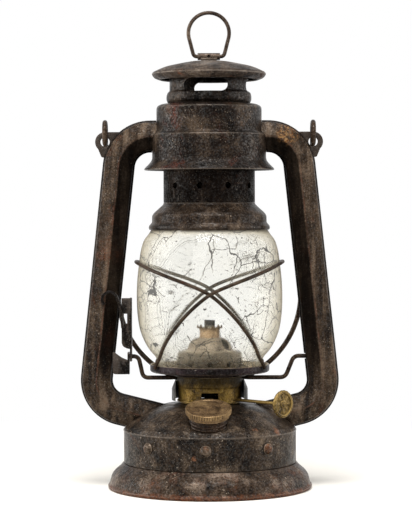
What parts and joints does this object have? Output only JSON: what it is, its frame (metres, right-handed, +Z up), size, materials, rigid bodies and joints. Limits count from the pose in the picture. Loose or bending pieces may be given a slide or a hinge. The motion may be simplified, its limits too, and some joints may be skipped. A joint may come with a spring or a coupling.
{
  "type": "oil lantern",
  "caption": "Tubular hurricane lantern: round fount, toothed burner, glass globe under crossed guard wires, lifting chimney, hollow side tubes, wire bail and top ring.",
  "frame": {"origin": "middle of the base ring, on the surface that the lantern stands on", "axes": "+Z up, -Y to the front with the filler cap, +X to the lantern's right as seen from the front, so the lift lever is at -X"},
  "size_m": [0.159, 0.1256, 0.293],
  "materials": {
    "blackened_steel": "worn dark paint over steel, speckled with rust",
    "worn_steel": "paint rubbed down to dull grey-brown steel",
    "rusted_steel": "rust-browned paint",
    "aged_brass": "dull patchy brass",
    "knob_brass": "rubbed brass",
    "dark_bronze": "brown tarnish with rubbed edges",
    "globe_glass": "clear, faintly soiled and crazed",
    "wick_cotton": "woven cotton, charred at the tip",
    "gasket_cork": "matt"
  },
  "bodies": {
    "frame": {"base_skirt": "rusted_steel", "fount_shell": "blackened_steel", "fount_bottom": "blackened_steel", "band_rivet_1": "worn_steel", "band_rivet_2": "worn_steel", "band_rivet_3": "worn_steel", "band_rivet_4": "worn_steel", "band_rivet_5": "worn_steel", "band_rivet_6": "worn_steel", "filler_neck": "dark_bronze", "burner_collar": "aged_brass", "burner_drum": "aged_brass", "burner_guard": "worn_steel", "burner_basket": "aged_brass", "burner_dome": "dark_bronze", "burner_crown": "dark_bronze", "wick_tube": "aged_brass", "collar": "blackened_steel", "side_tube_left": "blackened_steel", "side_tube_right": "blackened_steel", "bail_ear_left": "blackened_steel", "bail_ear_right": "blackened_steel", "lever_bracket": "blackened_steel", "chimney_spring": "worn_steel"},
    "globe_carrier": {"globe_plate": "worn_steel", "globe": "globe_glass", "globe_guard_left": "blackened_steel", "globe_guard_right": "blackened_steel"},
    "chimney": {"bell": "blackened_steel", "chimney_tube": "blackened_steel", "chimney_sleeve": "blackened_steel", "gallery": "blackened_steel", "hood": "blackened_steel", "ring_bracket": "worn_steel"},
    "top_ring": {"lift_ring": "worn_steel"},
    "handle": {"bail": "blackened_steel"},
    "crank": {"lift_crank": "blackened_steel", "lift_lever": "blackened_steel"},
    "wick_knob_set": {"wick_shaft": "knob_brass", "wick_knob": "knob_brass", "wick_sprocket_1": "aged_brass", "wick_sprocket_2": "aged_brass"},
    "wick_strip": {"wick": "wick_cotton"},
    "gasket": {"filler_gasket": "gasket_cork"},
    "cap": {"filler_cap": "dark_bronze"}
  },
  "joints": [
    {"name": "globe_lift", "type": "slide", "parent": "frame", "child": "globe_carrier", "axis": [0, 0, 1], "range_m": [0, 0.012]},
    {"name": "lift_lever_turn", "type": "hinge", "parent": "frame", "child": "crank", "pos_m": [0, 0, 0.0809], "axis": [1, 0, 0], "range_deg": [0, 28]},
    {"name": "chimney_lift", "type": "slide", "parent": "globe_carrier", "child": "chimney", "axis": [0, 0, 1], "range_m": [0, 0.012], "deforming": ["chimney_spring"]},
    {"name": "ring_fold", "type": "hinge", "parent": "chimney", "child": "top_ring", "pos_m": [0, 0, 0.26503], "axis": [1, 0, 0], "range_deg": [-80, 80]},
    {"name": "bail_swing", "type": "hinge", "parent": "frame", "child": "handle", "pos_m": [0, 0, 0.21827], "axis": [1, 0, 0], "range_deg": [0, 235]},
    {"name": "wick_knob_turn", "type": "hinge", "parent": "frame", "child": "wick_knob_set", "pos_m": [0.00342, 0.00342, 0.0548], "axis": [0.7071, -0.7071, 0], "range_deg": [-90, 180]},
    {"name": "wick_slide", "type": "slide", "parent": "frame", "child": "wick_strip", "axis": [0, 0, 1], "range_m": [-0.01235, 0.00617]},
    {"name": "gasket_slide", "type": "slide", "parent": "frame", "child": "gasket", "axis": [0, -0.309, 0.9511], "range_m": [0, 0.004]},
    {"name": "cap_turn", "type": "hinge", "parent": "gasket", "child": "cap", "pos_m": [-0.0009, -0.0403, 0.0425], "axis": [0, -0.309, 0.9511], "range_deg": [0, 720]}
  ],
  "couplings": [
    {"joint": "lift_lever_turn", "follows": "globe_lift", "rad_per_m": 40.724},
    {"joint": "wick_slide", "follows": "wick_knob_turn", "m_per_rad": -0.00393},
    {"joint": "gasket_slide", "follows": "cap_turn", "m_per_rad": 0.0003183}
  ]
}
